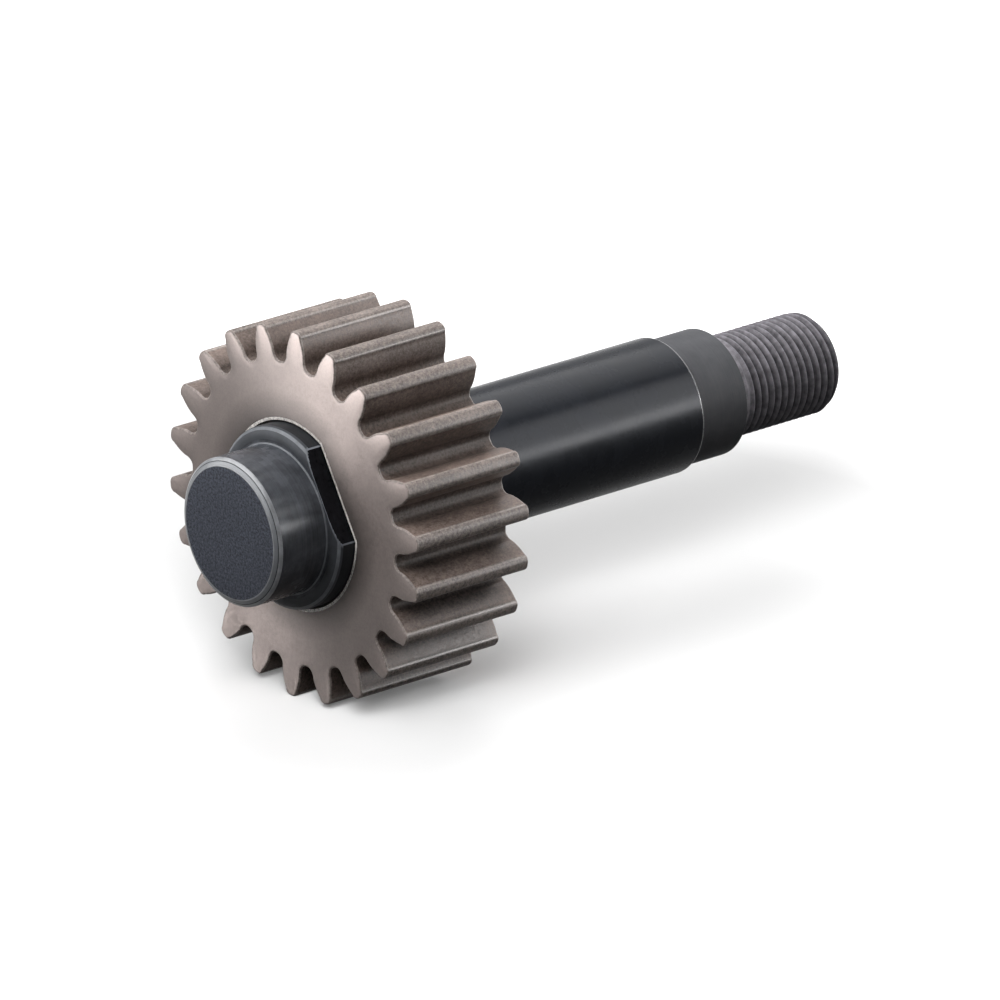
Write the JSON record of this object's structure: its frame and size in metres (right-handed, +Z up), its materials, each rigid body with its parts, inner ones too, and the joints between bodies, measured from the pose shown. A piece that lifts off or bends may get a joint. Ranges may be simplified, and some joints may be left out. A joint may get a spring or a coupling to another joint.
{
  "type": "input gear",
  "caption": "Straight-cut spur gear pressed on a stepped shaft with a front pilot, a long main journal, a register and a threaded end.",
  "frame": {"origin": "on the shaft's axis, at the shoulder where the main journal meets the collar behind the gear", "axes": "+X along the shaft's axis towards the threaded end, +Z up with the shaft level, +Y completes the right-handed set"},
  "size_m": [0.1293, 0.0656, 0.066],
  "materials": {
    "gear_steel": "matte brown-grey phosphate",
    "shaft_steel": "satin black oxide"
  },
  "bodies": {
    "root": {"spur_gear": "gear_steel", "gear_shaft": "shaft_steel"}
  },
  "joints": []
}
